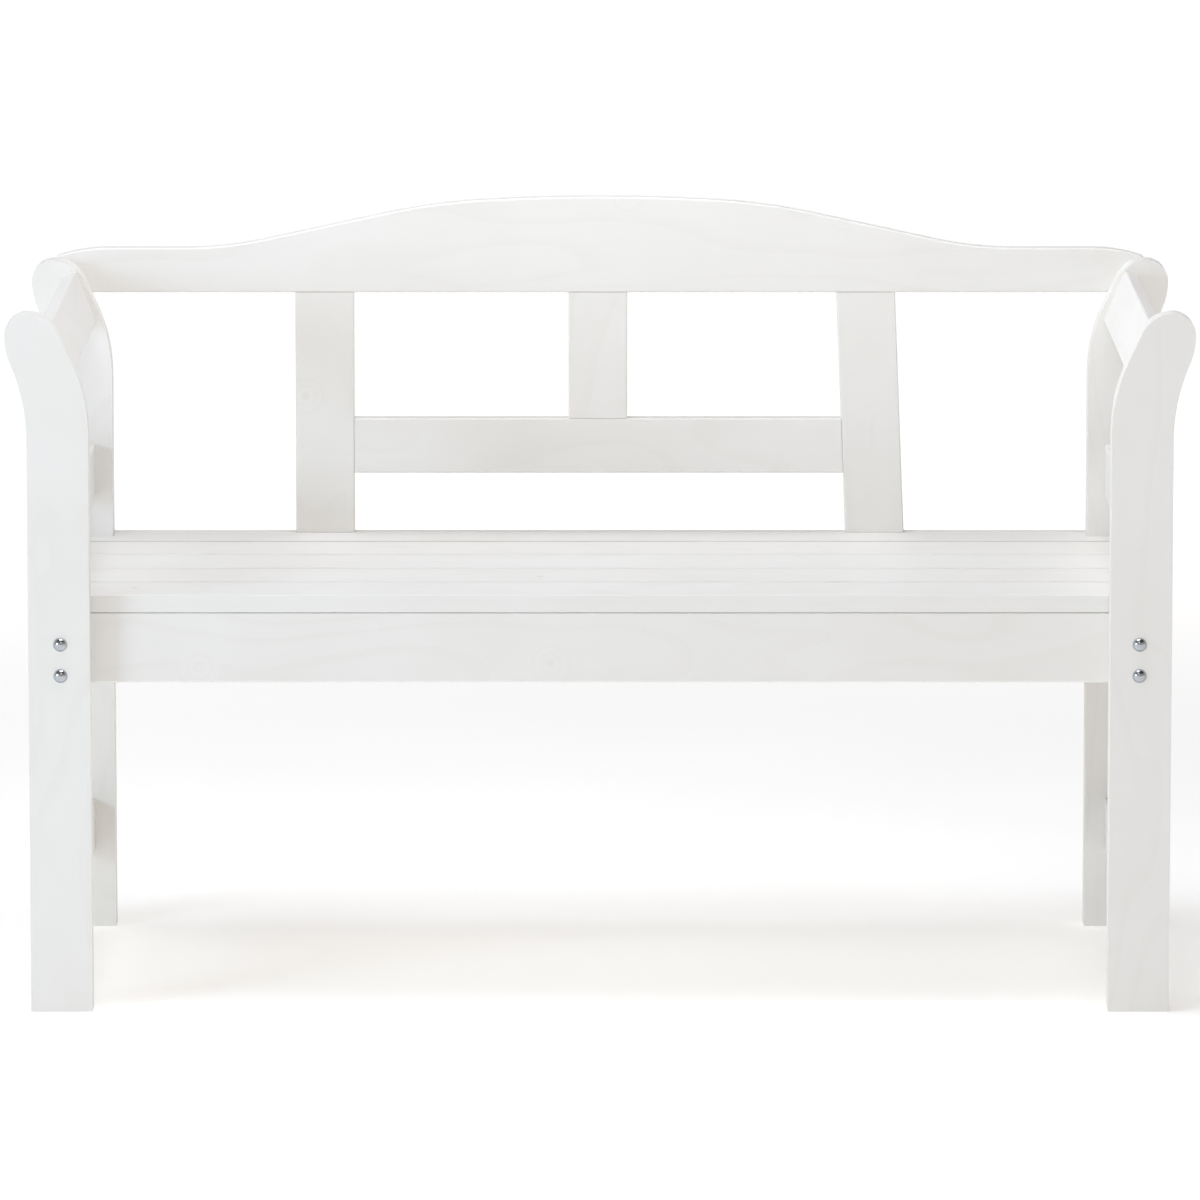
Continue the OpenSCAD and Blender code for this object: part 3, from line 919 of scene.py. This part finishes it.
@dataclass
class DomeBolts:
    """Dome-headed bolts of one face, with polished heads bedded in the paint."""

    node: str
    outward: Vector
    head_d: float = 16 * MM
    head_h: float = 5 * MM
    shaft_d: float = 6 * MM

    def places(self) -> list[Vector]:
        """Works out where the heads sit from the node's box.

        Returns:
            The middle of each head's underside.
        """
        low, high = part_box(self.node)
        r = self.head_d / 2
        y = low.y + self.head_h if self.outward.y < 0 else high.y - self.head_h
        return [Vector((x, y, z)) for x in (low.x + r, high.x - r) for z in (low.z + r, high.z - r)]

    def build(self, finishes: Finishes) -> None:
        """Spins the heads and shafts of all the bolts of this face.

        Args:
            finishes: The finished materials.
        """
        low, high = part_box(self.node)
        length = (high.y - low.y) - self.head_h
        bm = bmesh.new()
        dome_r = (self.head_d ** 2 / 4 + self.head_h ** 2) / (2 * self.head_h)
        for place in self.places():
            made: list[bmesh.types.BMVert] = bmesh.ops.create_uvsphere(
                bm, u_segments=48, v_segments=48, radius=dome_r
            )["verts"]
            bmesh.ops.translate(bm, verts=made, vec=Z * (self.head_h - dome_r))
            geom = made + [e for e in bm.edges if e.verts[0] in set(made)]
            faces = list({f for v in made for f in v.link_faces})
            cut = bmesh.ops.bisect_plane(
                bm, geom=geom + faces, plane_co=Vector(), plane_no=Z, clear_inner=True
            )["geom_cut"]
            rim = [g for g in cut if isinstance(g, bmesh.types.BMEdge)]
            bmesh.ops.contextual_create(bm, geom=rim)
            head = self._island(rim[0].verts[0])
            shaft = bmesh.ops.create_cone(
                bm, cap_ends=True, segments=24, radius1=self.shaft_d / 2, radius2=self.shaft_d / 2,
                depth=length,
            )["verts"]
            bmesh.ops.translate(bm, verts=shaft, vec=-Z * length / 2)
            bmesh.ops.rotate(
                bm, verts=head + shaft, cent=Vector(), matrix=Z.rotation_difference(self.outward).to_matrix()
            )
            bmesh.ops.translate(bm, verts=head + shaft, vec=place)
        bmesh.ops.recalc_face_normals(bm, faces=bm.faces)
        place_piece(bm, "dome_" + self.node, finishes.zinc, self.node)

    def _island(self, start: bmesh.types.BMVert) -> list[bmesh.types.BMVert]:
        """Finds a loose piece of the mesh.

        Args:
            start: One of its points.

        Returns:
            All points joined to that one.
        """
        found, queue = {start}, [start]
        while queue:
            for edge in queue.pop().link_edges:
                for v in edge.verts:
                    if v not in found:
                        found.add(v)
                        queue.append(v)
        return list(found)


@dataclass
class HiddenFixings:
    """Barrel nuts, screws and dowels, which keep the frame's own shapes."""

    metal: tuple[str, ...] = ("barrel_nuts", "crest_screws", "slat_screws")
    wood: tuple[str, ...] = (
        "armrest_dowels", "side_rail_dowels", "stretcher_dowels", "backrest_dowels", "bearer_dowels",
    )

    def build(self, finishes: Finishes) -> None:
        """Gives each node its finish.

        Args:
            finishes: The finished materials.
        """
        for names, material in ((self.metal, finishes.zinc), (self.wood, finishes.beech)):
            for name in names:
                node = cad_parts[name]
                node.data.materials.clear()
                node.data.materials.append(material)
                LOG.info("%s keeps its frame shape", name)


@dataclass(frozen=True)
class Softbox:
    """One softbox: where it hangs, its power in watts, its size, its cloth and what it looks at."""

    name: str
    at: tuple[float, float, float]
    power: float
    width: float
    height: float
    tint: str = "ffffff"
    aim: tuple[float, float, float] = (0.0, 0.0, 0.5)

    def hang(self) -> None:
        """Puts the lamp in the scene, where it lights the bench but isn't seen itself."""
        lamp = bpy.data.lights.new(self.name, "AREA")
        lamp.shape = "RECTANGLE"
        lamp.size = self.width
        lamp.size_y = self.height
        lamp.energy = self.power
        lamp.color = srgb(self.tint)[:3]
        piece = bpy.data.objects.new(self.name, lamp)
        bpy.context.scene.collection.objects.link(piece)
        piece.location = self.at
        piece.rotation_euler = (Vector(self.aim) - Vector(self.at)).to_track_quat("-Z", "Y").to_euler()
        piece.visible_camera = False


@dataclass
class Studio:
    """A pale lit floor, a softly lit room and a long lens that looks a little down."""

    camera_at: tuple[float, float, float] = (0.0, -10.911, 2.075)
    pitch: float = 8.566
    lens: float = 283.6
    sensor: float = 36.0
    clip_end: float = 200.0
    floor_reach: float = 60.0
    floor_glow: float = 0.36
    far_glow: float = 0.8
    glow_rises: tuple[float, float] = (1.2, 4.5)
    walls: float = 0.56
    ceiling: float = 0.08
    wall_fades: tuple[float, float] = (0.35, 0.65)
    side_glow: float = 0.13
    side_from: tuple[float, float, float] = (-0.80, -0.42, 0.42)
    side_edge: float = 0.2
    softboxes: tuple[Softbox, ...] = (
        Softbox("front_softbox", (0.0, -2.75, 2.35), 4.0, 0.4, 0.4),
        Softbox("top_softbox", (-0.3, -0.1, 3.6), 66.0, 2.2, 2.2, "f1f6ff"),
        Softbox("fore_softbox", (-0.15, -0.75, 2.95), 7.0, 1.8, 1.8),
        Softbox("inner_softbox", (0.0, -0.2, 1.45), 1.6, 1.5, 0.35, aim=(0.0, 0.27, 0.58)),
        Softbox("key_softbox", (-3.3, -2.75, 1.25), 38.5, 1.0, 1.0, "cae8ff"),
    )

    def build(self) -> None:
        """Places the camera, the lights, the room and the floor."""
        camera = bpy.data.objects.new("camera", bpy.data.cameras.new("camera"))
        bpy.context.scene.collection.objects.link(camera)
        camera.location = self.camera_at
        camera.rotation_euler = (math.radians(90 - self.pitch), 0, 0)
        camera.data.lens = self.lens
        camera.data.sensor_width = self.sensor
        camera.data.clip_end = self.clip_end
        bpy.context.scene.camera = camera
        bpy.context.scene.view_settings.view_transform = "Standard"
        for softbox in self.softboxes:
            softbox.hang()
        self.room()
        self.floor()

    def room(self) -> None:
        """A white room with a darker ceiling, and a wide soft glow from the left."""
        world = bpy.data.worlds.new("studio_room")
        bpy.context.scene.world = world
        world.use_nodes = True
        tree = world.node_tree
        tree.nodes.clear()
        way = add_node(tree, "ShaderNodeTexCoord").outputs["Generated"]
        up = add_node(tree, "ShaderNodeSeparateXYZ", {"Vector": way}).outputs["Z"]
        base = add_node(
            tree, "ShaderNodeMapRange",
            {
                "Value": up, "From Min": self.wall_fades[0], "From Max": self.wall_fades[1],
                "To Min": self.walls, "To Max": self.ceiling,
            },
            interpolation_type="SMOOTHSTEP",
        ).outputs["Result"]
        facing = add_node(
            tree, "ShaderNodeVectorMath", {0: way, 1: self.side_from}, operation="DOT_PRODUCT"
        ).outputs["Value"]
        glow = add_node(
            tree, "ShaderNodeMapRange",
            {"Value": facing, "From Min": self.side_edge, "To Max": self.side_glow},
            interpolation_type="SMOOTHSTEP",
        ).outputs["Result"]
        total = add_node(tree, "ShaderNodeMath", {0: base, 1: glow}, operation="ADD").outputs["Value"]
        light = add_node(tree, "ShaderNodeBackground", {"Color": srgb("fff9f5"), "Strength": total})
        add_node(tree, "ShaderNodeOutputWorld", {"Surface": light.outputs["Background"]})

    def floor(self) -> None:
        """A wide plain floor that glows a little, as a lit shooting table does."""
        bm = bmesh.new()
        bmesh.ops.create_grid(bm, x_segments=1, y_segments=1, size=self.floor_reach)
        mesh = bpy.data.meshes.new("studio_floor")
        bm.to_mesh(mesh)
        bm.free()
        material, tree = fresh_material("pale_studio_floor")
        place = add_node(tree, "ShaderNodeTexCoord").outputs["Object"]
        away = add_node(tree, "ShaderNodeVectorMath", {0: place}, operation="LENGTH").outputs["Value"]
        glow = add_node(
            tree, "ShaderNodeMapRange",
            {
                "Value": away, "From Min": self.glow_rises[0], "From Max": self.glow_rises[1],
                "To Min": self.floor_glow, "To Max": self.far_glow,
            },
            interpolation_type="SMOOTHSTEP",
        ).outputs["Result"]
        shader = add_node(
            tree, "ShaderNodeBsdfPrincipled",
            {
                "Base Color": srgb("fbf9f6"), "Roughness": 0.9,
                "Emission Color": srgb("ffffff"), "Emission Strength": glow,
            },
        )
        add_node(tree, "ShaderNodeOutputMaterial", {"Surface": shader.outputs["BSDF"]})
        mesh.materials.append(material)
        floor = bpy.data.objects.new("studio_floor", mesh)
        bpy.context.scene.collection.objects.link(floor)


def main() -> None:
    """Builds the bench, one sub-assembly after another."""
    logging.basicConfig(level=logging.INFO, format="%(message)s")
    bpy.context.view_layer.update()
    finishes = Finishes(PaintedSoftwood().build(), ZincSteel().build(), TurnedBeech().build())
    for side in ("left", "right"):
        SideFrame(side).build(finishes)
    Seat().build(finishes)
    Backrest().build(finishes)
    DomeBolts("front_bolts", -Y).build(finishes)
    DomeBolts("rear_bolts", Y).build(finishes)
    HiddenFixings().build(finishes)
    Studio().build()


if __name__ == "__main__":
    main()
